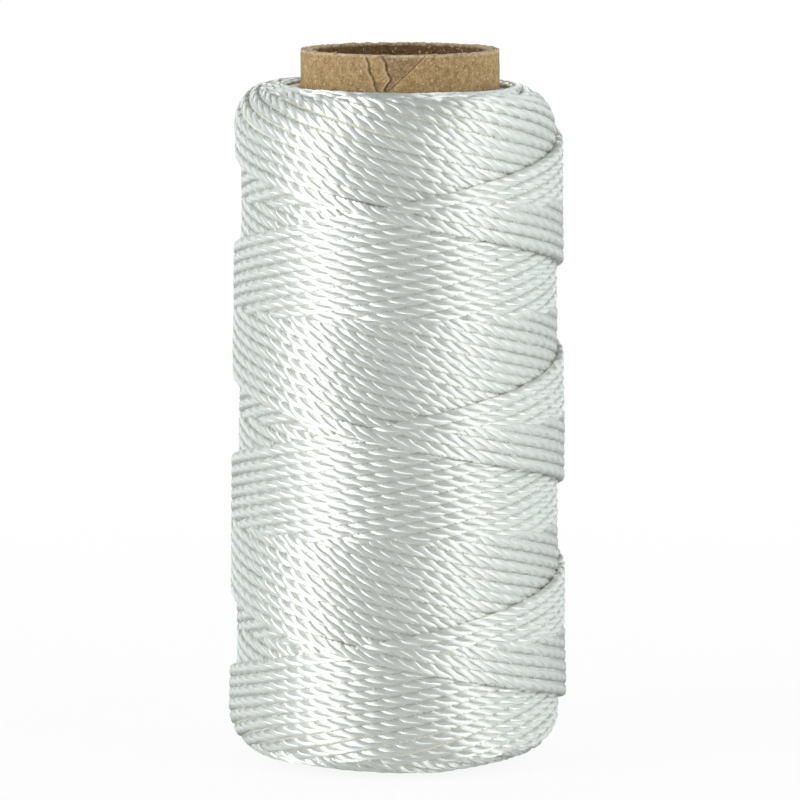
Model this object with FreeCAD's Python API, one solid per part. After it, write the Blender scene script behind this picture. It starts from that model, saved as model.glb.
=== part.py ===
import FreeCAD, Part
import math
import os

# A spool of three-strand twine, cross-wound on a spiral-wound paper tube.
# Lengths are millimetres. The origin is the centre of the tube's lower end, +Z runs up
# the tube, and the photographed side faces -Y. Headings are degrees to the right of -Y.

# Paper tube: plies of kraft strip, glued round a one inch mandrel
bore_radius = 12.7
tube_length = 103.0
ply_names = ("inner_ply", "second_ply", "third_ply", "outer_ply")
ply_thickness = 0.4
ply_lead = 85.0
seam_gap = 0.35
seam_stagger = 61.0
outer_seam_heading = -61.0

# Winding: a plain core of inner layers under one crossing layer of twine
twine_diameter = 1.65
package_radius = 24.2
foot_clearance = 0.5
top_clearance = 4.8
core_shoulder = 2.5
core_gap = 0.15
crossing_gap = 0.46

# Route of the crossing layer, in quarter turns: up on the inner level, down on the outer
quarters_up = 12
quarters_down = 11
first_quarter = 6
last_quarter = 101
first_heading = 45.0
shoulder_reach = 25.0
turn_reach = 20.0
tuck_bend = 1.2
tuck_room = 0.1
least_gap_wanted = 0.4
arc_samples = 12

outer_ply_radius = bore_radius + len(ply_names) * ply_thickness
twine_radius = twine_diameter / 2
outer_level = package_radius - twine_radius
inner_level = outer_level - twine_diameter - crossing_gap
core_radius = inner_level - twine_radius - core_gap
level_rise = outer_level - core_radius
turn_tilt = math.radians(shoulder_reach + turn_reach)
turn_height = (core_shoulder + level_rise) * math.sin(turn_tilt)
side_bottom = foot_clearance + twine_radius + turn_height
side_top = tube_length - top_clearance - twine_radius - turn_height


def radial(heading):
    """Unit vector pointing away from the axis at a heading."""
    angle = math.radians(heading)
    return FreeCAD.Vector(math.sin(angle), -math.cos(angle), 0)


def around(heading):
    """Unit vector along a turn, towards growing heading."""
    angle = math.radians(heading)
    return FreeCAD.Vector(math.cos(angle), math.sin(angle), 0)


def tube(outer, inner, bottom, top):
    """Round tube about Z between two heights."""
    base = FreeCAD.Vector(0, 0, bottom)
    wall = Part.makeCylinder(outer, top - bottom, base)
    return wall.cut(Part.makeCylinder(inner, top - bottom, base))


def seam_cutter(inner, outer, heading):
    """Helical blade as wide as the seam, which starts at a heading at the tube's foot."""
    run = seam_gap * 4
    middle = (inner + outer) / 2
    lead_angle = math.atan2(ply_lead, 2 * math.pi * middle)
    half = seam_gap / 2 / math.cos(lead_angle)
    path = Part.makeHelix(ply_lead, tube_length + 2 * run, middle)
    near = inner - ply_thickness / 2
    far = outer + ply_thickness / 2
    corners = [(near, -half), (far, -half), (far, half), (near, half), (near, -half)]
    profile = Part.makePolygon([FreeCAD.Vector(x, 0, z) for x, z in corners])
    sweep = Part.BRepOffsetAPI.MakePipeShell(Part.Wire(path))
    sweep.setFrenetMode(True)
    sweep.add(profile)
    sweep.build()
    sweep.makeSolid()
    blade = sweep.shape()
    start = heading - 90 - 360 * run / ply_lead
    blade.rotate(FreeCAD.Vector(), FreeCAD.Vector(0, 0, 1), start)
    blade.translate(FreeCAD.Vector(0, 0, -run))
    return blade


def make_ply(index):
    """One glued paper strip: a thin tube, slit along the seam where its edges meet."""
    inner = bore_radius + index * ply_thickness
    outer = inner + ply_thickness
    steps_in = len(ply_names) - 1 - index
    heading = outer_seam_heading - seam_stagger * steps_in
    return tube(outer, inner, 0, tube_length).cut(seam_cutter(inner, outer, heading))


def make_core():
    """Inner layers as one plain drum with rounded shoulders, tight on the tube."""
    bottom = side_bottom - core_shoulder
    top = side_top + core_shoulder
    drum = tube(core_radius, outer_ply_radius, bottom, top)
    rims = [edge for edge in drum.Edges
            if edge.Closed and abs(edge.Curve.Radius - core_radius) < 1e-6]
    return drum.makeFillet(core_shoulder, rims)


def surface_frame(heading, height_share, level):
    """Point, outward normal and meridian direction of the route over the drum.

    The height share runs from 0 at the lowest node to 1 at the highest. The nodes at both
    ends lie past the drum's side, on its rounded shoulders.
    """
    reach = math.radians(shoulder_reach)
    round_radius = core_shoulder + level - core_radius
    mean_round = core_shoulder + level_rise / 2
    side = side_top - side_bottom
    along = height_share * (side + 2 * reach * mean_round) - reach * mean_round
    over = max(along - side, 0) + min(along, 0)
    tilt = over / mean_round
    out = radial(heading)
    up = FreeCAD.Vector(0, 0, 1)
    normal = out * math.cos(tilt) + up * math.sin(tilt)
    meridian = up * math.cos(tilt) - out * math.sin(tilt)
    centre = out * (core_radius - core_shoulder) + up * (side_bottom + along - over)
    return centre + normal * round_radius, normal, meridian


def route_node(quarter):
    """Point, direction and outward normal of the route at a whole quarter turn."""
    cycle = quarters_up + quarters_down + 2
    step = quarter % cycle
    climbing = step <= quarters_up
    level = inner_level if climbing else outer_level
    share = step / quarters_up if climbing else (cycle - 1 - step) / quarters_down
    heading = first_heading + 90 * quarter
    point, normal, meridian = surface_frame(heading, share, level)
    rise = (side_top - side_bottom) / (quarters_up if climbing else -quarters_down)
    quarter_arc = math.pi / 2 * level
    direction = around(heading) * quarter_arc + meridian * rise
    return point, direction.normalize(), normal


def arc_between(start, direction, end):
    """Arc that leaves start along a direction and ends at end."""
    chord = end - start
    across = chord - direction * chord.dot(direction)
    radius = chord.dot(chord) / (2 * across.Length)
    side = FreeCAD.Vector(across).normalize()
    turn = 2 * math.atan2(across.Length, chord.dot(direction))
    half = turn / 2
    middle = start + direction * (radius * math.sin(half)) + side * (radius * (1 - math.cos(half)))
    return Part.Arc(start, middle, end), radius


def biarc(start, direction, end, end_direction):
    """Two arcs that join start to end and keep both directions."""
    chord = end - start
    both = direction + end_direction
    bend = 2 * (1 - direction.dot(end_direction))
    reach = chord.dot(both)
    length = (math.sqrt(reach * reach + bend * chord.dot(chord)) - reach) / bend
    middle = (start + direction * length + end - end_direction * length) * 0.5
    first, first_radius = arc_between(start, direction, middle)
    second, second_radius = arc_between(end, end_direction * -1, middle)
    centre = second.value((second.FirstParameter + second.LastParameter) / 2)
    return [first, Part.Arc(middle, centre, end)], [first_radius, second_radius]


def tuck(point, direction, normal):
    """Straight end that comes square out of the drum, and the bend that lays it down."""
    bend = tuck_bend * twine_diameter
    low = point - normal * bend - direction * bend
    corner = point - normal * bend
    middle = corner + (normal - direction) * (bend / math.sqrt(2))
    return [Part.LineSegment(low - normal * twine_diameter, low), Part.Arc(low, middle, point)]


def route():
    """Curves of the crossing layer from end to end, both ends, and the tightest bend."""
    nodes = [route_node(quarter) for quarter in range(first_quarter, last_quarter + 1)]
    point, direction, normal = nodes[0]
    head = tuck(point, direction, normal)
    curves = list(head)
    radii = [tuck_bend * twine_diameter]
    for (start, heading, _), (end, end_heading, _) in zip(nodes, nodes[1:]):
        arcs, bends = biarc(start, heading, end, end_heading)
        curves += arcs
        radii += bends
    point, direction, normal = nodes[-1]
    line, bend = tuck(point, direction * -1, normal)
    tail = [Part.Arc(point, bend.value((bend.FirstParameter + bend.LastParameter) / 2), line.EndPoint),
            Part.LineSegment(line.EndPoint, line.StartPoint)]
    return curves + tail, head, tail, min(radii)


def sweep_round(curves, radius):
    """Solid round tube along joined curves."""
    edges = [curve.toShape() for curve in curves]
    start = edges[0].Vertexes[0].Point
    direction = edges[0].tangentAt(edges[0].FirstParameter)
    profile = Part.Wire(Part.makeCircle(radius, start, direction))
    sweep = Part.BRepOffsetAPI.MakePipeShell(Part.Wire(edges))
    sweep.add(profile)
    sweep.build()
    sweep.makeSolid()
    return sweep.shape()


def points_along(curves):
    """Points and their distance along the route."""
    points = []
    travelled = 0.0
    for curve in curves:
        first, last = curve.FirstParameter, curve.LastParameter
        length = curve.length()
        for step in range(arc_samples):
            share = step / arc_samples
            points.append((curve.value(first + (last - first) * share), travelled + length * share))
        travelled += length
    return points, travelled


def least_gap(points):
    """Smallest clear distance between stretches of twine that aren't neighbours."""
    cell = twine_diameter * 3
    near = {}
    for index, (point, _) in enumerate(points):
        key = tuple(math.floor(value / cell) for value in point)
        near.setdefault(key, []).append(index)
    apart = twine_diameter * 4
    least = package_radius
    offsets = [(a, b, c) for a in (-1, 0, 1) for b in (-1, 0, 1) for c in (-1, 0, 1)]
    for (a, b, c), members in near.items():
        others = [j for i, k, m in offsets for j in near.get((a + i, b + k, c + m), ())]
        for index in members:
            point, travelled = points[index]
            for other in others:
                if other > index and points[other][1] - travelled > apart:
                    least = min(least, point.distanceToPoint(points[other][0]) - twine_diameter)
    return least


def export(shape, name):
    """Write one node and print what it is."""
    shape.exportStep("parts/" + name + ".step")
    print(name, "valid", shape.isValid(), "solids", len(shape.Solids), "volume", round(shape.Volume, 1))


os.makedirs("parts", exist_ok=True)
for index, name in enumerate(ply_names):
    export(make_ply(index), name)

curves, head, tail, tightest = route()
points, length = points_along(curves)
gap = least_gap(points)
turns = (last_quarter - first_quarter) / 4
print("outer winding:", turns, "turns,", round(length), "mm long, tightest bend", round(tightest, 2))
print("outer winding: least gap to itself", round(gap, 3), "over", least_gap_wanted, gap > least_gap_wanted)

winding = sweep_round(curves, twine_radius)
section = math.pi * twine_radius ** 2
print("outer winding: volume over section times length", round(winding.Volume / (section * length), 5))
core = make_core()
for end in (head, tail):
    core = core.cut(sweep_round(end, twine_radius + tuck_room))
export(core, "inner_winding")
export(winding, "outer_winding")
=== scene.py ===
import math
import bpy
import numpy as np
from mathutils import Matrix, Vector


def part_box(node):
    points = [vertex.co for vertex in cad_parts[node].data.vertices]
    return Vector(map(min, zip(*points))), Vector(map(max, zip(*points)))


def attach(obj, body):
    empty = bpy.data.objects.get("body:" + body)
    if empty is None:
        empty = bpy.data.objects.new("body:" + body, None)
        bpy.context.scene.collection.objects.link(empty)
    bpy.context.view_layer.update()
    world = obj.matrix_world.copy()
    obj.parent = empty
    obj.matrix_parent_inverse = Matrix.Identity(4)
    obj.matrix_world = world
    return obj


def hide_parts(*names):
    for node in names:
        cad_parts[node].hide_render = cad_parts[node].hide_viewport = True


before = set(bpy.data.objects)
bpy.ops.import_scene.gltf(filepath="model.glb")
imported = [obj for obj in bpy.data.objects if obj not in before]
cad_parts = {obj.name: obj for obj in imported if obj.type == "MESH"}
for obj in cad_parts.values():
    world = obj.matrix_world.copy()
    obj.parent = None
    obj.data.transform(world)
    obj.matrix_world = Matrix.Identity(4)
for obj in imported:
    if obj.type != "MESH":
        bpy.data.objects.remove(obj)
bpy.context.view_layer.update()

# Lengths are millimetres. Headings in degrees, and counts of rounds, run to the right from
# the photographed side.
mm = 0.001
fullTurn = 2 * np.pi
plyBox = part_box("outer_ply")
tubeRadius = plyBox[1].x / mm
tubeTop = plyBox[1].z / mm
print("frame loaded: tube radius", round(tubeRadius, 2), "and top", round(tubeTop, 2), "mm")


def unit(v):
    # vectors of length one, row by row
    return v / np.linalg.norm(v, axis=-1, keepdims=True)


def ease(x):
    # smooth step from 0 to 1: three squares less two cubes
    x = np.clip(x, 0, 1)
    return x * x * (3 - 2 * x)


def bell(x, middle, width):
    # one at the middle, falling away with the square of the distance over the width
    return np.exp(-((x - middle) / width) ** 2)


def signedDegrees(degrees):
    # the same heading, between -180 and 180
    return (degrees + 180) % 360 - 180


def outward(rounds):
    # level directions away from the axis: the sine to the right, the cosine to the front
    angle = fullTurn * rounds
    return np.stack([np.sin(angle), -np.cos(angle)], -1)


def lengthAlong(points):
    # distance travelled along a row of points: the steps between them, added up
    steps = np.linalg.norm(np.diff(points, axis=0), axis=1)
    return np.concatenate([[0], np.cumsum(steps)])


def wave(x, seed, lengths, height):
    # sum of sines of a few lengths with seeded phases: a smooth wander between -height and height
    rng = np.random.default_rng(seed)
    phases = rng.uniform(0, fullTurn, len(lengths))
    total = sum(np.sin(fullTurn * x / length + phase) for length, phase in zip(lengths, phases))
    return height * total / len(lengths)


def lumps(turn, height, cells, size, seed):
    # smooth random lumps between -1 and 1 on a closed band: random corners, eased between
    rng = np.random.default_rng(seed)
    spareRows = 3
    corner = rng.uniform(-1, 1, (int(np.ptp(height) / size) + spareRows, cells))
    x = turn % 1 * cells
    y = (height - height.min()) / size
    left, low = np.floor(x).astype(int), np.floor(y).astype(int)
    shareX, shareY = ease(x - left), ease(y - low)
    left, right = left % cells, (left + 1) % cells
    below = corner[low, left] * (1 - shareX) + corner[low, right] * shareX
    above = corner[low + 1, left] * (1 - shareX) + corner[low + 1, right] * shareX
    return below * (1 - shareY) + above * shareY


def meshFromArrays(name, points, faces, uv=None, values=None):
    # quads or triangles as arrays of vertex numbers go straight into a new mesh
    mesh = bpy.data.meshes.new(name)
    sizes = np.concatenate([np.full(len(f), f.shape[1]) for f in faces])
    corners = np.concatenate([f.ravel() for f in faces])
    mesh.vertices.add(len(points))
    mesh.vertices.foreach_set("co", (points * mm).astype(np.float32).ravel())
    mesh.loops.add(len(corners))
    mesh.loops.foreach_set("vertex_index", corners.astype(np.int32))
    mesh.polygons.add(len(sizes))
    starts = np.concatenate([[0], np.cumsum(sizes)[:-1]])
    mesh.polygons.foreach_set("loop_start", starts.astype(np.int32))
    mesh.update(calc_edges=True)
    if uv is not None:
        layer = mesh.uv_layers.new(name="along")
        layer.uv.foreach_set("vector", uv.astype(np.float32).ravel())
    for key, data in (values or {}).items():
        attribute = mesh.attributes.new(key, "FLOAT", "POINT")
        attribute.data.foreach_set("value", data.astype(np.float32))
    mesh.shade_smooth()
    piece = bpy.data.objects.new(name, mesh)
    bpy.context.scene.collection.objects.link(piece)
    return piece


def gridFaces(rows, columns, closedRows=False):
    # quads between neighbours on a grid whose columns join round, and its rows too if closed
    r = np.arange(rows if closedRows else rows - 1)[:, None]
    c = np.arange(columns)[None]
    nextC = (c + 1) % columns
    nextR = (r + 1) % rows
    quad = [r * columns + c, r * columns + nextC, nextR * columns + nextC, nextR * columns + c]
    return np.stack(np.broadcast_arrays(*quad), -1).reshape(-1, 4)


# One laid twine: three strands twisted to the right, pressed flat by its neighbours
lay = {
    "pitch": 7.8,            # length of one twist
    "strands": 3,
    "halfWidth": 0.96,
    "halfHeight": 0.66,
    "oblong": 2.9,           # power of the outline: 2 is an ellipse, more is squarer
    "groove": 0.32,          # depth of the groove between two strands
    "grooveCurve": 3.4,      # 2 gives round strands, more gives flat ones
    "pressed": 0.35,         # share of the groove left at the sides, where neighbours press
    "slant": 0.20,           # how far strands lie flatter on the face and turn faster at the sides
    "across": (-60.0, -51.0, -33.0, 0.0, 33.0, 51.0),   # degrees across one strand, groove first
    "swell": 0.03,           # share by which the thickness varies, and over which lengths
    "swellLengths": (9.0, 23.0, 57.0),
    "uneven": 0.035,         # twists by which the lay varies, and over which lengths
    "unevenLengths": (37.0, 83.0, 171.0),
    "shiftUp": 0.029,        # twists between neighbours in the ways up, and in the ways down
    "shiftDown": 0.119,
    "settle": 0.5,           # rounds beside a tip over which the twist falls into line
}


def strandOutline(twist, along):
    # how far each point of a ring has turned, and its height and width about the twine's centre:
    # the powers of height and width add up to one, less a groove between two strands
    across = np.radians(np.tile(np.array(lay["across"]), lay["strands"]))
    lobes = np.repeat(np.arange(lay["strands"]) * fullTurn / lay["strands"], len(lay["across"]))
    turned = (lobes + across)[None] + fullTurn * twist[:, None]
    turned = turned - lay["slant"] * np.sin(2 * turned)
    sine, cosine = np.sin(turned), np.cos(turned)
    power = lay["oblong"]
    outline = ((np.abs(cosine) / lay["halfHeight"]) ** power
               + (np.abs(sine) / lay["halfWidth"]) ** power) ** (-1 / power)
    depth = np.abs(across / across[0]) ** lay["grooveCurve"]
    leftOpen = lay["pressed"] + (1 - lay["pressed"]) * np.abs(cosine)
    swell = 1 + wave(along, len(along), lay["swellLengths"], lay["swell"])[:, None]
    radii = (outline - lay["groove"] * depth * leftOpen) * swell
    return turned, cosine * radii, sine * radii


def twineMap(turned, along):
    # the map's first direction runs straight along the twine, as its filaments do, and the
    # second follows the turn of the outline; both ends need no map
    rows, columns = turned.shape
    low, high = along[:-1, None], along[1:, None]
    mapAlong = np.broadcast_to(np.stack([low, low, high, high], -1), (rows - 1, columns, 4))
    share = np.concatenate([turned, turned[:, :1] + fullTurn], 1) / fullTurn
    mapAcross = np.stack([share[:-1, :-1], share[:-1, 1:], share[1:, 1:], share[1:, :-1]], -1)
    endCorners = 2 * 3 * columns
    return np.concatenate([np.stack([mapAlong, mapAcross], -1).reshape(-1, 2), np.zeros((endCorners, 2))])


def endFans(rows, columns):
    # triangles from a middle point at each end, which close a tube of rings
    c = np.arange(columns)
    nextC = (c + 1) % columns
    middle = rows * columns
    lastRing = middle - columns
    first = np.stack([np.full(columns, middle), nextC, c], 1)
    last = np.stack([np.full(columns, middle + 1), lastRing + c, lastRing + nextC], 1)
    return first, last


def sharpenGrooves(mesh, bodyPoints, columns):
    # edges that run along a groove between two strands stay crisp
    ends = np.empty(len(mesh.edges) * 2, np.int32)
    mesh.edges.foreach_get("vertices", ends)
    ends = ends.reshape(-1, 2)
    column = ends % columns
    perStrand = len(lay["across"])
    sharp = (ends < bodyPoints).all(1) & (column[:, 0] == column[:, 1]) & (column[:, 0] % perStrand == 0)
    attribute = mesh.attributes.new("sharp_edge", "BOOLEAN", "EDGE")
    attribute.data.foreach_set("value", sharp)


def laidTwine(name, centre, normal, twist):
    # profile carried along a path: each ring is the three-strand outline, turned by the lay
    tangent = unit(np.gradient(centre, axis=0))
    lift = unit(normal - tangent * np.sum(normal * tangent, 1, keepdims=True))
    side = np.cross(tangent, lift)
    along = lengthAlong(centre)
    turned, up, out = strandOutline(twist, along)
    rings = centre[:, None] + lift[:, None] * up[..., None] + side[:, None] * out[..., None]
    rows, columns = turned.shape
    points = np.concatenate([rings.reshape(-1, 3), centre[[0, -1]]])
    faces = [gridFaces(rows, columns), *endFans(rows, columns)]
    values = {"height": np.concatenate([(up / lay["halfHeight"]).ravel(), [0, 0]])}
    piece = meshFromArrays(name, points, faces, twineMap(turned, along), values)
    sharpenGrooves(piece.data, rows * columns, columns)
    return piece


# The drum under the lowest turns, as it meets their centre line. The place along its surface
# is the height on the side, and goes on over both shoulders.
drum = {
    "sideRadius": 21.40,     # radius at the top of the side
    "flare": 1.15,           # what the radius gains at the foot
    "topShoulder": (5.17, 5.47, 91.4),   # width, height, and where it starts
    "footShoulder": (4.6, 5.2, 7.5),
    "shoulderPoints": 60,
    "faceReach": 14.35,      # radius at which both faces end on the tube
    "shift": (-0.12, -0.28), # sideways shift at the top, and what the foot adds to it
    "sagReach": 4.5,         # height over which a sag fades
    "sags": (                # heading, half width in degrees, height, and what it adds up and outward
        (12.0, 26.0, 1.0, -0.55, 0.0),    # the foot sags at the front
        (-95.0, 50.0, 98.0, 0.0, 0.75),   # the top shoulder is fuller at its left
    ),
}


def drumProfile():
    # the drum's outline as a table: straight flared side, a quarter ellipse at each end, flat faces
    angle = np.linspace(0, np.pi / 2, drum["shoulderPoints"])
    parts = []
    for (width, height, start), up in ((drum["topShoulder"], 1), (drum["footShoulder"], -1)):
        sideRadius = drum["sideRadius"] + drum["flare"] * (1 - start / tubeTop)
        r = sideRadius - width + width * np.cos(angle)
        z = start + up * height * np.sin(angle)
        tilt = np.arctan2(np.sin(angle) / height, np.cos(angle) / width)
        over = np.concatenate([[0], np.cumsum(np.hypot(np.diff(r), np.diff(z)))])
        r = np.append(r, drum["faceReach"])
        over = np.append(over, over[-1] + r[-2] - r[-1])
        parts.append((start + up * over, r, np.append(z, z[-1]), up * np.append(tilt, tilt[-1])))
    top, foot = parts
    return [np.concatenate([low[::-1], high]) for low, high in zip(foot, top)]


profile = drumProfile()


def drumPoints(rounds, place, cover):
    # points over the drum and outward directions: coverings are added along the normal
    places, radii, heights, tilts = profile
    radius, height = np.interp(place, places, radii), np.interp(place, places, heights)
    lean = np.interp(place, places, tilts)
    share = winding["faceLift"] + (1 - winding["faceLift"]) * np.cos(lean)
    out = np.concatenate([outward(rounds), np.zeros((*rounds.shape, 1))], -1)
    up = np.array([0, 0, 1.0])
    normal = out * np.cos(lean)[..., None] + up * np.sin(lean)[..., None]
    points = out * radius[..., None] + up * height[..., None]
    points = points + normal * (winding["passLift"] * share * cover)[..., None]
    points[..., 0] += drum["shift"][0] + drum["shift"][1] * (1 - points[..., 2] / tubeTop)
    for heading, width, middle, rise, bulge in drum["sags"]:
        # a soft bump round one heading and height moves the surface up and outward
        bump = (bell(signedDegrees(rounds * 360 - heading), 0, width)
                * bell(points[..., 2], middle, drum["sagReach"]))
        points = points + up * (rise * bump)[..., None] + out * (bulge * bump)[..., None]
    return points, normal


# The newest turns of the twine, which go up and down over the drum in whole cycles
winding = {
    "leadUp": 30.8,          # climb of one round on the way up
    "leadDown": 31.6,        # drop of one round on the way down
    "roundsPerCycle": 7,     # whole rounds of one way up and down, before the drift
    "drift": 0.0532,         # share of a round that each cycle falls back
    "cycles": 19,            # cycles whose turns can be seen
    "topTip": 103.4,         # place where the ways up and down would meet if not rounded
    "rankShift": 8,          # places in the layer from a way up to the way down that follows it
    "lastUp": 51.0,          # height at the front of the newest way up
    "tipRound": (0.40, 0.54, 0.47),    # rounds over which tips are rounded, in rotation
    "footRound": (0.34, 0.48, 0.41),
    "passLift": 1.0,         # what one more covering of twine adds to the radius
    "faceLift": 0.45,        # share of that on the end faces
    "bridge": 0.07,          # share of a lead over which a turn climbs onto the edge of another
    "smooth": 2.2,           # bending length of the twine
    "step": 0.5,             # distance between rings of the mesh
    "wander": 0.08,          # wander of a turn, sideways and outward, and over which lengths
    "sideLengths": (31.0, 67.0, 149.0, 211.0),
    "liftLengths": (19.0, 43.0, 97.0),
    "dive": 26.0,            # length over which both ends go under their neighbours
    "diveDepth": 2.5,        # coverings that they sink
    "perPiece": 2,           # cycles in one piece
}


def cycleNumbers():
    # rounds of one cycle, rounds of its way up, place of the tip at the foot, and the rounds at
    # which the first cycle starts: the stroke is as high as the cycle's rounds allow, where a
    # millimetre takes one over the lead in rounds, up and down
    w = winding
    cycle = w["roundsPerCycle"] - w["drift"]
    stroke = cycle / (1 / w["leadUp"] + 1 / w["leadDown"])
    footTip = w["topTip"] - stroke
    start = (footTip - w["lastUp"]) / w["leadUp"] % 1 - cycle * (w["cycles"] - 1)
    return cycle, stroke / w["leadUp"], footTip, start


cycle, upRounds, footTip, startRounds = cycleNumbers()


def newestLines(rank):
    # where the ways up and down of one place in the layer would pass the front: each starts at
    # its tip, and every place further on moves it by the drift times its lead
    w = winding
    up = footTip - w["leadUp"] * startRounds + rank * w["drift"] * w["leadUp"]
    down = w["topTip"] + w["leadDown"] * (startRounds + upRounds)
    return up, down - (rank + w["rankShift"]) * w["drift"] * w["leadDown"]


def climbOn(phase):
    # a turn sinks by one covering round the drum, and climbs back just before the newest edge
    return phase + (1 - phase) * ease((winding["bridge"] - phase) / winding["bridge"])


def layerBase(rank):
    # coverings that a turn of this place in the layer lies on, from those laid after it
    lineUp, lineDown = newestLines(rank)
    lastUp, lastDown = newestLines(winding["cycles"] - 1)
    return 1 + (lineUp - lastUp) / winding["leadUp"] - (lineDown - lastDown) / winding["leadDown"]


def wayUpCover(rank, place, rounds):
    # covering under a way up: its base, and how far round it is from the newest way down
    drop = winding["leadDown"]
    edge = newestLines(rank)[1] + winding["drift"] * drop / 2
    return layerBase(rank) - winding["drift"] + climbOn((edge - place - drop * rounds) / drop % 1)


def wayDownCover(rank, place, rounds):
    # covering under a way down: its base, and how far round it is from the newest way up
    climb = winding["leadUp"]
    edge = newestLines(rank)[0] + winding["drift"] * climb / 2
    return layerBase(rank) + climbOn((place - climb * rounds - edge) / climb % 1)


def roundedTip(distance, lead, width):
    # drop below a sharp tip: a parabola within the rounding, the plain slope outside it
    inside = lead * (distance ** 2 / width + width / 4)
    return np.where(np.abs(distance) < width / 2, inside, lead * np.abs(distance))


def windingRoute(rounds):
    # place and covering of the twine at each count of rounds, from the lines of the newest turns
    w = winding
    since = rounds - startRounds
    k = np.clip(np.floor(since / cycle), 0, w["cycles"] - 1)
    within = since - k * cycle
    upward = within < upRounds
    lead = np.where(upward, w["leadUp"], w["leadDown"])
    fromTop = within - upRounds
    fromFoot = np.where(upward, within, cycle - within)
    topSide = np.abs(fromTop) < fromFoot
    topWidth = np.array(w["tipRound"])[k.astype(int) % len(w["tipRound"])]
    footWidth = np.array(w["footRound"])[(k + ~upward).astype(int) % len(w["footRound"])]
    place = np.where(topSide, w["topTip"] - roundedTip(fromTop, lead, topWidth),
                     footTip + roundedTip(fromFoot, lead, footWidth))
    # near the foot the way up of the next cycle follows the way down of the last
    rankUp = k + (~topSide & ~upward)
    rankDown = (k - (~topSide & upward) - w["rankShift"]) % w["cycles"]
    coverUp = wayUpCover(rankUp, place, rounds)
    coverDown = wayDownCover(rankDown, place, rounds)
    # near a tip the way up turns into the way down bit by bit
    turned = ease(fromTop / topWidth + 0.5)
    leaving = ease(within / footWidth + 0.5)
    coming = ease((cycle - within) / footWidth + 0.5)
    goingDown = np.where(topSide, turned, np.where(upward, 1 - leaving, coming))
    cover = goingDown * coverDown + (1 - goingDown) * coverUp
    return place, cover


def smoothAlong(values, length):
    # running average with a bell curve, whose spread is the given length, cut off at three spreads
    reach = int(3 * length / winding["step"])
    weights = np.exp(-0.5 * (np.arange(-reach, reach + 1) * winding["step"] / length) ** 2)
    padded = np.concatenate([np.full(reach, values[0]), values, np.full(reach, values[-1])])
    return np.convolve(padded, weights / weights.sum(), "valid")


def twistAlong(rounds, centre):
    # twists by length, eased round each tip so that the strands of neighbours fall into line
    along = lengthAlong(centre)
    twist = along / lay["pitch"]
    twist = twist + wave(twist * lay["pitch"], 8, lay["unevenLengths"], lay["uneven"])
    k = np.arange(winding["cycles"])
    perRound = fullTurn * (drum["sideRadius"] + winding["passLift"]) / lay["pitch"]
    strand = 1 / lay["strands"]
    knots, turnsBy = [], []
    for middle, half, shift in ((upRounds / 2, upRounds / 2, lay["shiftUp"]),
                                ((cycle + upRounds) / 2, (cycle - upRounds) / 2, lay["shiftDown"])):
        at = startRounds + k * cycle + middle
        wanted = k * (shift - winding["drift"] * perRound)
        missing = (wanted - np.interp(at, rounds, twist) + strand / 2) % strand - strand / 2
        for side in (-1, 1):
            knots.append(at + side * (half - lay["settle"]))
            turnsBy.append(missing)
    order = np.argsort(np.concatenate(knots))
    return twist + np.interp(rounds, np.concatenate(knots)[order], np.concatenate(turnsBy)[order])


def makeNewestTurns(material):
    # the whole run of the newest cycles is one route, cut into pieces that share their end rings
    w = winding
    perRound = fullTurn * (drum["sideRadius"] + w["passLift"])
    count = int(cycle * w["cycles"] * perRound / w["step"])
    rounds = startRounds + np.linspace(0, cycle * w["cycles"], count)
    place, cover = windingRoute(rounds)
    along = (rounds - startRounds) * perRound
    place = smoothAlong(place, w["smooth"]) + wave(along, 3, w["sideLengths"], w["wander"])
    cover = smoothAlong(cover, w["smooth"]) + wave(along, 5, w["liftLengths"], w["wander"])
    fromStart, fromEnd = along / w["dive"], (along[-1] - along) / w["dive"]
    cover = cover - w["diveDepth"] * (ease(1 - fromStart) + ease(1 - fromEnd))
    centre, normal = drumPoints(rounds, place, cover)
    twist = twistAlong(rounds, centre)
    made = []
    pieces = math.ceil(w["cycles"] / w["perPiece"])
    for number in range(pieces):
        start = int(number * w["perPiece"] / w["cycles"] * count)
        end = min(int((number + 1) * w["perPiece"] / w["cycles"] * count) + 1, count)
        part = slice(start, end)
        piece = laidTwine(f"newest_turns_{number + 1}", centre[part], normal[part], twist[part])
        piece.data.materials.append(material)
        made.append(piece)
    length = lengthAlong(centre)[-1]
    print("newest turns:", round(length), "mm of twine, ends at heading", round(rounds[-1] % 1 * 360))
    return made


# The bed of packed turns that shows between the newest ones
packed = {
    "columns": 300,
    "rows": 230,
    "fill": 0.14,            # height of the bed above the centre of the turns that lie on it
    "near": 2,               # grid steps over which the lowest covering counts
    "leap": 1.9,             # a change of covering beyond this isn't followed up or down
    "lap": 0.02,             # how far the inner wall lies in the paper
}


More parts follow.
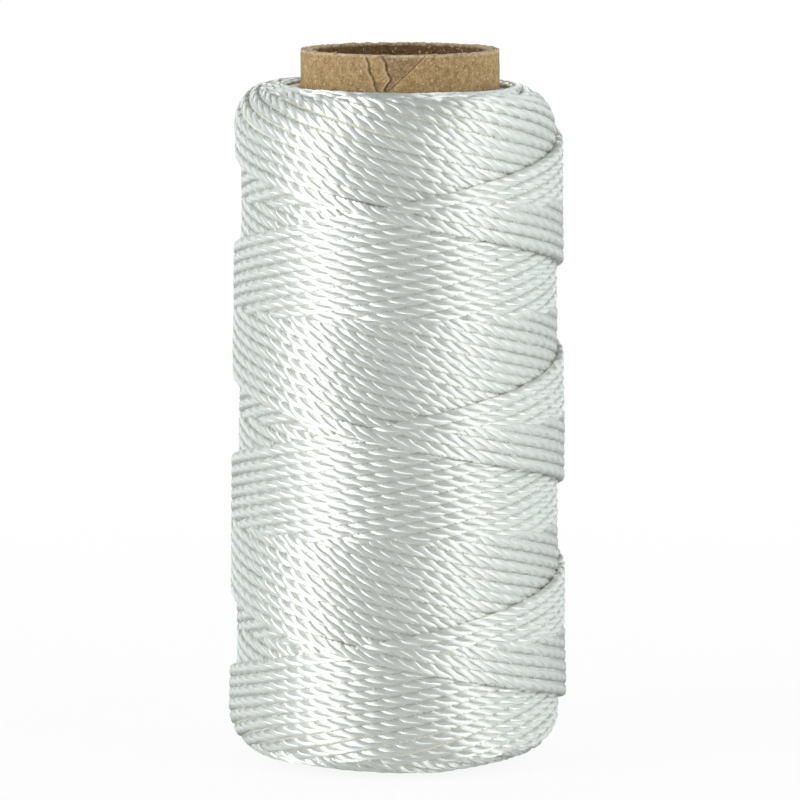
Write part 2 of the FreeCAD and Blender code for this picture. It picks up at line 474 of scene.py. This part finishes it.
def makeBed(material):
    # closed surface just under the newest turns: the same coverings, taken at their lowest nearby
    w = winding
    turn = np.arange(packed["columns"]) / packed["columns"]
    place = np.linspace(profile[0][0], profile[0][-1], packed["rows"])
    rounds, level = np.meshgrid(turn, place)
    lastUp, lastDown = newestLines(w["cycles"] - 1)
    edgeUp = lastUp + w["leadUp"] * (rounds + w["drift"] / 2)
    edgeDown = lastDown - w["leadDown"] * (rounds - w["drift"] / 2)
    cover = (level - edgeUp) / w["leadUp"] % 1 + (edgeDown - level) / w["leadDown"] % 1
    low = cover.copy()
    for shift in range(-packed["near"], packed["near"] + 1):
        low = np.minimum(low, np.roll(cover, shift, 1))
        moved = np.roll(cover, shift, 0)
        low = np.minimum(low, np.where(np.abs(moved - cover) < packed["leap"], moved, low))
    points, _ = drumPoints(rounds, level, low + packed["fill"] / w["passLift"])
    inner = points[[-1, 0]].copy()
    inner[..., :2] = unit(inner[..., :2]) * (tubeRadius - packed["lap"])
    points = np.concatenate([points, inner])
    faces = gridFaces(len(points), packed["columns"], closedRows=True)
    bed = meshFromArrays("packed_turns", points.reshape(-1, 3), [faces])
    bed.data.materials.append(material)
    return bed


# Paper strips of the tube, wound as in the solids
paper = {
    "names": ("inner_ply", "second_ply", "third_ply", "outer_ply"),
    "bore": 12.7,
    "thickness": 0.4,
    "lead": 85.0,            # climb of the seam in one round
    "outerSeam": -61.0,      # heading of the outer seam at the foot
    "stagger": 61.0,         # degrees from one strip's seam to the next
    "gap": 0.05,             # gap between the edges of a strip
    "columns": (240, 160, 160),      # points round the three inner strips
    "fineColumns": (40, 260, 230),   # outer strip: beside the seam, round the back, across the creases
    "creased": (0.03, 0.885),        # shares of the round where those ranges end
    "footRows": (0, 0.3, 0.8),       # heights of the rings at the foot
    "sideRows": (3, 96, 16),         # lowest, highest and number of rings where the winding hides them
    "rimRows": (16, 45),             # rings above those, on the inner strips and on the outer one
    "dents": (0.035, 40, 2.0, 11),   # shallow dents: depth, how many round the tube, size and seed
    "worn": (0.05, 0.35),            # the rim's outer edge is rubbed off: depth, height
    "standOff": 0.02,                # the inner face stays clear of the strip inside by this
    "seamLift": (0.09, 0.03),        # the seam's edge stands up: height, share of the round
    "ragged": ((1.0, 150, 0.5, 31), (0.8, 420, 0.4, 41)),   # cut ends: share, lumps round, size and seed
    "rim": (0.09, 0.5, 1.2),         # raggedness of the cut rim, share that it sinks, reach below it
    "foot": (0.1, 0.22, 0.8),        # raggedness of the foot, how far it is lifted, reach above it
    "cut": (0.45, 0.3),              # the cut's colour starts this far below the rim, and fades in
}


def stripGrid(index, outer):
    # heights of the rings, and the shares of the round at which each has its points
    p = paper
    outermost = index == len(p["names"]) - 1
    low, high, count = p["sideRows"]
    z = np.concatenate([p["footRows"], np.linspace(low, high, count, endpoint=False),
                        np.linspace(high, tubeTop, p["rimRows"][outermost])])
    gap = p["gap"] / (fullTurn * outer)
    if not outermost:
        return z, np.linspace(gap, 1 - gap, p["columns"][index])
    seamSide, back, folded = p["fineColumns"]
    near, far = p["creased"]
    share = np.concatenate([np.linspace(gap, near, seamSide, endpoint=False),
                            np.linspace(near, far, back, endpoint=False),
                            np.linspace(far, 1 - gap, folded)])
    return z, share


def stripCaps(rows, columns):
    # quads from the outer to the inner points, at the rim and at the foot
    c = np.arange(columns // 2 - 1)
    other = columns - 1 - c
    top = (rows - 1) * columns
    topCap = np.stack([top + c, top + c + 1, top + other - 1, top + other], 1)
    footCap = np.stack([c, other, other - 1, c + 1], 1)
    return topCap, footCap


def makePly(index, material):
    # closed strip: at each height a loop of outer points from one edge of the seam to the other,
    # and back along the inner ones
    p = paper
    last = len(p["names"]) - 1
    inner = p["bore"] + index * p["thickness"]
    outer = inner + p["thickness"]
    z, share = stripGrid(index, outer)
    seam = (p["outerSeam"] - p["stagger"] * (last - index)) / 360 + z / p["lead"]
    turn = seam[:, None] + share[None]
    height = np.broadcast_to(z[:, None], turn.shape)
    depth, cells, size, seed = p["dents"]
    dent = lumps(turn, height, cells, size, seed + index) * depth
    wornDepth, wornHeight = p["worn"]
    wallOut = outer + dent - wornDepth * ease((height - tubeTop + wornHeight) / wornHeight)
    wallIn = inner + dent * (index > 0) + p["standOff"]
    if index == last:
        lift, liftShare = p["seamLift"]
        wallOut = wallOut + acrossCreases(turn, height, crease["relief"])
        wallOut = wallOut + lift * ease(1 - np.abs(share[None] - share[0]) / liftShare)
    rough = sum(amount * lumps(turn, height, cells, size, seed + index)
                for amount, cells, size, seed in p["ragged"])
    rimRough, rimSink, rimReach = p["rim"]
    nearRim = np.clip((height - tubeTop + rimReach) / rimReach, 0, 1)
    height = height + (rough - rimSink) * nearRim * rimRough
    footRough, footLift, footReach = p["foot"]
    height = height + (footLift + footRough * rough) * np.clip(1 - height / footReach, 0, 1)
    way = outward(turn)
    outside = np.concatenate([way * wallOut[..., None], height[..., None]], -1)
    inside = np.concatenate([way * wallIn[..., None], height[..., None]], -1)
    points = np.concatenate([outside, inside[:, ::-1]], 1)
    rows, columns = points.shape[:2]
    turn, height = np.concatenate([turn, turn[:, ::-1]], 1), points[..., 2]
    cutStart, cutFade = p["cut"]
    none = np.zeros_like(turn)
    values = {
        "fold": creaseShadeAndLip(turn, height) if index == last else none,
        "rim": np.clip((height - tubeTop + cutStart) / cutFade, 0, 1),
        "patch": patch(turn, height) if index == last else none,
    }
    values = {key: data.ravel() for key, data in values.items()}
    piece = meshFromArrays(p["names"][index].replace("ply", "paper"), points.reshape(-1, 3),
                           [gridFaces(rows, columns), *stripCaps(rows, columns)], None, values)
    piece.data.materials.append(material)
    return piece


# Two creases in the outer strip below its rim, and the greyer corner beside the second one
crease = {
    "lines": (               # headings and heights along each
        ((-20.0, 103.2), (-17.9, 101.2), (-15.7, 99.5), (-13.0, 98.0)),
        ((-10.6, 103.2), (-8.6, 101.9), (-6.9, 100.7), (-5.4, 99.6), (-8.4, 98.0)),
    ),
    "relief": ((-0.24, 0.0, 0.14), (0.15, -0.36, 0.22), (0.05, 0.5, 0.4)),   # height, place across, width
    "shadeAndLip": ((0.8, -0.30, 0.14), (-1.0, 0.0, 0.12)),   # pale lip on the ridge, and painted shade in the line of the fold
    "crooked": ((0.12, 2.7, 0), (0.03, 9.1, 1)),       # sideways waver: width, how fast, and its start
    "fade": 0.6,             # height over which each end fades
    "patchEdge": (0.3, 2.0), # softness of the grey corner: millimetres at the crease, degrees at the seam
    "patchHeadings": (-12, 30),
}


def lineDistance(turn, height, line):
    # sideways distance in millimetres from a crooked line of headings and heights, and from 0 to 1
    # how far inside its ends
    heads, tops = np.array(line).T
    order = np.argsort(tops)
    degrees = signedDegrees(turn * 360) - np.interp(height, tops[order], heads[order])
    across = degrees * np.pi / 180 * tubeRadius
    for width, speed, start in crease["crooked"]:
        across = across + width * np.sin(height * speed + start)
    fade = crease["fade"]
    inside = ease((height - tops.min() + fade) / fade) * ease((tops.max() + fade - height) / fade)
    return across, inside


def acrossCreases(turn, height, ridges):
    # bell-shaped ridges that run along each crease, added up
    total = np.zeros_like(turn)
    for line in crease["lines"]:
        across, inside = lineDistance(turn, height, line)
        total = total + inside * sum(rise * bell(across, place, width) for rise, place, width in ridges)
    return total


def creaseShadeAndLip(turn, height):
    # from -1 in the line of a crease, painted dark as shade in the fold, to 1 on its pale lip
    return np.clip(acrossCreases(turn, height, crease["shadeAndLip"]), -1, 1)


def patch(turn, height):
    # from 0 to 1 in the greyer corner between the second crease and the seam
    across, inside = lineDistance(turn, height, crease["lines"][1])
    heading = signedDegrees(turn * 360)
    seam = signedDegrees((paper["outerSeam"] / 360 + height / paper["lead"]) * 360)
    creaseEdge, seamEdge = crease["patchEdge"]
    left, right = crease["patchHeadings"]
    corner = inside * ease(across / creaseEdge + 0.5) * ease((seam - heading) / seamEdge + 0.5)
    return corner * (heading > left) * (heading < right)


def setUp(node, settings):
    # each setting goes to the node's input of that name, or else to its own property
    for key, value in settings.items():
        if key in node.inputs:
            node.inputs[key].default_value = value
        else:
            setattr(node, key, value)
    return node


def nodeTree(name):
    # new material, its shader, and short ways to add a node and to join two sockets
    material = bpy.data.materials.new(name)
    material.use_nodes = True
    tree = material.node_tree
    shader = next(n for n in tree.nodes if n.type == "BSDF_PRINCIPLED")

    def add(kind, **settings):
        return setUp(tree.nodes.new(kind), settings)

    return material, shader, add, tree.links.new


def colourRamp(add, low, high):
    # colours between two places, each given as its place and its colour
    ramp = add("ShaderNodeValToRGB")
    for element, (position, colour) in zip(ramp.color_ramp.elements, (low, high)):
        element.color = (*colour, 1)
        element.position = position
    return ramp


twineLook = {
    "depthPaintedGlow": (0.20, (0.92, 0.93, 0.84)),      # height on the twine, and the brighter, yellower colour up to there: painted light for light bounced in the depth
    "top": (0.62, (0.86, 0.886, 0.85)),
    "fineLines": (0.35, 26, 1),              # scale of the filaments along the twine and round it
    "filaments": {"noise_dimensions": "2D", "Scale": 1.0, "Detail": 3.0, "Roughness": 0.6},
    "bump": {"Strength": 0.5, "Distance": 0.00012},
    "lean": 0.35,                            # how far normals lean to the drum's outward direction
    "shader": {
        "Metallic": 0.70,                    # a pearly share: filaments mirror light along their length
        "Roughness": 0.50,
        "IOR": 1.53,
        "Anisotropic": 1.0,
        "Anisotropic Rotation": 0.25,
        "Subsurface Weight": 0.3,
        "Subsurface Radius": (1.0, 1.0, 0.85),
        "Subsurface Scale": 0.0007,
    },
}


def twineFinish():
    # glossy filament: the colour is painted brighter and yellower in the depth between turns, painted light
    # that stands in for light bounced there; fine lines run along
    look = twineLook
    material, shader, add, join = nodeTree("glossyTwine")
    setUp(shader, look["shader"])
    height = add("ShaderNodeAttribute", attribute_name="height")
    # low on each twine the colour is painted brighter: painted light in the grooves
    ramp = colourRamp(add, look["depthPaintedGlow"], look["top"])
    join(height.outputs["Fac"], ramp.inputs["Fac"])
    join(ramp.outputs["Color"], shader.inputs["Base Color"])
    uvMap = add("ShaderNodeUVMap", uv_map="along")
    stretch = add("ShaderNodeMapping", Scale=look["fineLines"])
    noise = add("ShaderNodeTexNoise", **look["filaments"])
    bump = add("ShaderNodeBump", **look["bump"])
    join(uvMap.outputs["UV"], stretch.inputs["Vector"])
    join(stretch.outputs["Vector"], noise.inputs["Vector"])
    join(noise.outputs["Fac"], bump.inputs["Height"])
    # filaments mirror light all round them, so the relief counts for less: the normal leans outward
    place = add("ShaderNodeTexCoord")
    level = add("ShaderNodeVectorMath", operation="MULTIPLY")
    level.inputs[1].default_value = (1, 1, 0)
    away = add("ShaderNodeVectorMath", operation="NORMALIZE")
    lean = add("ShaderNodeVectorMath", operation="SCALE", Scale=look["lean"])
    leaned = add("ShaderNodeVectorMath", operation="ADD")
    softened = add("ShaderNodeVectorMath", operation="NORMALIZE")
    join(place.outputs["Object"], level.inputs[0])
    join(level.outputs["Vector"], away.inputs[0])
    join(away.outputs["Vector"], lean.inputs[0])
    join(bump.outputs["Normal"], leaned.inputs[0])
    join(lean.outputs["Vector"], leaned.inputs[1])
    join(leaned.outputs["Vector"], softened.inputs[0])
    join(softened.outputs["Vector"], shader.inputs["Normal"])
    tangent = add("ShaderNodeTangent", direction_type="UV_MAP", uv_map="along")
    join(tangent.outputs["Tangent"], shader.inputs["Tangent"])
    return material


# the bed's colour is darker than the twine's own: painted shade for the gaps between the newest turns
bedPaintedShadeLook = {"Base Color": (0.62, 0.62, 0.53, 1), "Roughness": 0.6}


def bedFinish():
    # packed turns seen only between the newest ones: a yellowish white painted darker than the twine, as
    # painted shade in the gaps
    material, shader, *_ = nodeTree("packedTwine")
    setUp(shader, bedPaintedShadeLook)
    return material


kraftLook = {
    "shades": {"kraftPaper": (1, 1, 1), "kraftPaperShadedInside": (0.43, 0.37, 0.34)},   # the bore's copy is painted darker: painted shade inside the tube
    "cloud": {"Scale": 1300.0, "Detail": 5.0, "Roughness": 0.75},
    "grain": {"Scale": 4600.0, "Detail": 4.0, "Roughness": 0.9},
    "dark": (0.39, (0.19, 0.11, 0.040)),     # place in the mottling, and the colour there
    "pale": (0.62, (0.57, 0.40, 0.205)),
    "patchTint": (0.78, 0.78, 0.86, 1),
    "fibres": {"Scale": 2300.0, "Detail": 1.0, "Roughness": 0.5},
    "fibreRange": {"From Min": 0.64, "From Max": 0.72, "To Max": 0.6},
    "fibreTint": (0.66, 0.52, 0.33, 1),
    "creaseShadeTint": (0.07, 0.04, 0.02, 1),     # painted shade in the line of a crease
    "lipTint": (0.62, 0.48, 0.30, 1),        # on its pale lip
    "cutDark": (0.40, (0.20, 0.13, 0.07)),   # on the cut rim
    "cutPale": (0.52, (0.62, 0.50, 0.34)),
    "bump": {"Strength": 0.6, "Distance": 0.00015},
    "shader": {"Roughness": 0.85, "Specular IOR Level": 0.25},
}


def kraftFinish(name):
    # kraft paper: mottled tan, greyer in the patch, with pale fibres, painted shade in the creases and a
    # pale cut rim
    look = kraftLook
    material, shader, add, join = nodeTree(name)
    setUp(shader, look["shader"])
    place = add("ShaderNodeTexCoord")
    cloud = add("ShaderNodeTexNoise", **look["cloud"])
    grain = add("ShaderNodeTexNoise", **look["grain"])
    fibres = add("ShaderNodeTexNoise", **look["fibres"])
    for noise in (cloud, grain, fibres):
        join(place.outputs["Object"], noise.inputs["Vector"])
    mixed = add("ShaderNodeMath", operation="ADD")
    join(cloud.outputs["Fac"], mixed.inputs[0])
    join(grain.outputs["Fac"], mixed.inputs[1])
    mottling = add("ShaderNodeMath", operation="MULTIPLY")
    mottling.inputs[1].default_value = 0.5
    join(mixed.outputs["Value"], mottling.inputs[0])
    tones = [(position, np.multiply(colour, look["shades"][name]))
             for position, colour in (look["dark"], look["pale"])]
    tone = colourRamp(add, *tones)
    join(mottling.outputs["Value"], tone.inputs["Fac"])
    cut = colourRamp(add, look["cutDark"], look["cutPale"])
    join(mottling.outputs["Value"], cut.inputs["Fac"])
    patchValue = add("ShaderNodeAttribute", attribute_name="patch")
    grey = add("ShaderNodeMixRGB", blend_type="MULTIPLY", Color2=look["patchTint"])
    join(patchValue.outputs["Fac"], grey.inputs["Fac"])
    join(tone.outputs["Color"], grey.inputs["Color1"])
    fibreShare = add("ShaderNodeMapRange", **look["fibreRange"])
    join(fibres.outputs["Fac"], fibreShare.inputs["Value"])
    # the line of each crease is painted dark: painted shade in the fold
    foldValue = add("ShaderNodeAttribute", attribute_name="fold")
    paintedCreaseShade = add("ShaderNodeMapRange", **{"From Min": 0.0, "From Max": -1.0})
    join(foldValue.outputs["Fac"], paintedCreaseShade.inputs["Value"])
    lip = add("ShaderNodeMapRange")
    join(foldValue.outputs["Fac"], lip.inputs["Value"])
    rimValue = add("ShaderNodeAttribute", attribute_name="rim")
    # each layer of colour covers the last where its share is high
    colour = grey.outputs["Color"]
    for share, tint in ((fibreShare.outputs["Result"], look["fibreTint"]),
                        (paintedCreaseShade.outputs["Result"], look["creaseShadeTint"]),
                        (lip.outputs["Result"], look["lipTint"]),
                        (rimValue.outputs["Fac"], None)):
        layer = add("ShaderNodeMixRGB", blend_type="MIX")
        join(share, layer.inputs["Fac"])
        join(colour, layer.inputs["Color1"])
        if tint:
            layer.inputs["Color2"].default_value = tint
        else:
            join(cut.outputs["Color"], layer.inputs["Color2"])
        colour = layer.outputs["Color"]
    join(colour, shader.inputs["Base Color"])
    bump = add("ShaderNodeBump", **look["bump"])
    join(mixed.outputs["Value"], bump.inputs["Height"])
    join(bump.outputs["Normal"], shader.inputs["Normal"])
    return material


# Place and lens worked out from the rim's ellipse in the photograph
view = {
    "distance": 908.0,       # from the tube's axis
    "aboveRim": 61.2,
    "down": 7.034,           # degrees that it looks down
    "lens": 284.8,
    "sensor": 36,
    "clipEnd": 20,           # metres
}


def addCamera():
    # in front of the photographed side, level across
    camera = bpy.data.objects.new("camera", bpy.data.cameras.new("camera"))
    bpy.context.scene.collection.objects.link(camera)
    camera.data.lens = view["lens"]
    camera.data.sensor_width = view["sensor"]
    camera.data.clip_end = view["clipEnd"]
    camera.location = (0, -view["distance"] * mm, (tubeTop + view["aboveRim"]) * mm)
    camera.rotation_euler = (math.radians(90 - view["down"]), 0, 0)
    bpy.context.scene.camera = camera


# Two softboxes left and right of the camera, and the white backdrop's light from both sides,
# from behind and from above. Headings are degrees, lengths metres and powers watts.
lamps = {
    "leftSoftbox": {"heading": -56, "distance": 0.85, "height": 0.27, "size": (0.42, 0.50), "power": 5.5},
    "rightSoftbox": {"heading": 50, "distance": 0.85, "height": 0.27, "size": (0.42, 0.50), "power": 3.6},
    "leftWrap": {"heading": -116, "distance": 0.85, "height": 0.48, "size": (0.90, 0.95), "power": 2.7,
                 "tint": (0.92, 0.985, 0.98)},
    "rightWrap": {"heading": 106, "distance": 0.85, "height": 0.48, "size": (1.00, 0.95), "power": 3.9,
                  "tint": (0.92, 0.985, 0.98)},
    "backWrap": {"heading": 180, "distance": 0.85, "height": 0.45, "size": (1.20, 0.90), "power": 4.2},
    "topWrap": {"heading": 0, "distance": 0.10, "height": 0.95, "size": (0.80, 0.80), "power": 1.0,
                "aim": 0.05},
}


def addLamps():
    # each stands at its heading and faces the axis, level unless it aims at another height
    for name, settings in lamps.items():
        data = bpy.data.lights.new(name, "AREA")
        data.shape = "RECTANGLE"
        data.size, data.size_y = settings["size"]
        data.energy = settings["power"]
        data.color = settings.get("tint", (1, 1, 1))
        lamp = bpy.data.objects.new(name, data)
        bpy.context.scene.collection.objects.link(lamp)
        turn, distance, height = math.radians(settings["heading"]), settings["distance"], settings["height"]
        lamp.location = (distance * math.sin(turn), -distance * math.cos(turn), height)
        aim = Vector((0, 0, settings.get("aim", height))) - lamp.location
        lamp.rotation_euler = aim.to_track_quat("-Z", "Y").to_euler()
        lamp.visible_camera = False


studio = {
    "seen": {"Color": (1, 1, 1, 1), "Strength": 1.0},
    "fill": {"Color": (0.91, 0.98, 0.97, 1), "Strength": 0.20},
}


def setWorld():
    # the camera sees white, everything else a pale cool light
    world = bpy.data.worlds.new("studio")
    bpy.context.scene.world = world
    world.use_nodes = True
    nodes, join = world.node_tree.nodes, world.node_tree.links.new
    nodes.clear()
    path = nodes.new("ShaderNodeLightPath")
    seen = setUp(nodes.new("ShaderNodeBackground"), studio["seen"])
    fill = setUp(nodes.new("ShaderNodeBackground"), studio["fill"])
    mix = nodes.new("ShaderNodeMixShader")
    out = nodes.new("ShaderNodeOutputWorld")
    join(path.outputs["Is Camera Ray"], mix.inputs["Fac"])
    join(fill.outputs["Background"], mix.inputs[1])
    join(seen.outputs["Background"], mix.inputs[2])
    join(mix.outputs["Shader"], out.inputs["Surface"])


floorLook = {
    "reach": 9000.0,         # from the middle to each side
    "shader": {"Base Color": (0.9, 0.9, 0.9, 1), "Roughness": 0.9},
    "glow": {"Color": (1, 1, 1, 1), "Strength": 1.0},
    "glowShare": {"From Min": 0.06, "From Max": 0.30, "To Min": 0.91, "To Max": 1.0},   # by metres away
}


def addFloor():
    # a wide pale floor: nearly white to the camera, and it keeps the shadow
    reach = floorLook["reach"]
    corners = np.array([(-reach, -reach, 0), (reach, -reach, 0), (reach, reach, 0), (-reach, reach, 0)])
    floor = meshFromArrays("floor", corners, [np.array([[0, 1, 2, 3]])])
    material, shader, add, join = nodeTree("paleFloor")
    setUp(shader, floorLook["shader"])
    glow = add("ShaderNodeEmission", **floorLook["glow"])
    path = add("ShaderNodeLightPath")
    place = add("ShaderNodeTexCoord")
    far = add("ShaderNodeVectorMath", operation="LENGTH")
    join(place.outputs["Object"], far.inputs[0])
    glowShare = add("ShaderNodeMapRange", **floorLook["glowShare"])
    join(far.outputs["Value"], glowShare.inputs["Value"])
    share = add("ShaderNodeMath", operation="MULTIPLY")
    join(path.outputs["Is Camera Ray"], share.inputs[0])
    join(glowShare.outputs["Result"], share.inputs[1])
    mix = add("ShaderNodeMixShader")
    join(share.outputs["Value"], mix.inputs["Fac"])
    join(shader.outputs["BSDF"], mix.inputs[1])
    join(glow.outputs["Emission"], mix.inputs[2])
    out = next(n for n in material.node_tree.nodes if n.type == "OUTPUT_MATERIAL")
    join(mix.outputs["Shader"], out.inputs["Surface"])
    floor.data.materials.append(material)


bpy.context.scene.view_settings.view_transform = "Standard"
addCamera()
addLamps()
setWorld()
addFloor()
print("camera, lamps and floor placed")

for piece in makeNewestTurns(twineFinish()):
    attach(piece, "root")
    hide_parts("outer_winding")

bed = makeBed(bedFinish())
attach(bed, "root")
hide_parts("inner_winding")
print("bed of packed turns made")

kraft = kraftFinish("kraftPaper")
# the bore's paper is a darker copy of the same kraft: painted shade inside the tube
kraftShadedInside = kraftFinish("kraftPaperShadedInside")
for index, node in enumerate(paper["names"]):
    ply = makePly(index, kraft if index else kraftShadedInside)
    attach(ply, "root")
    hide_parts(node)
print("paper tube made")
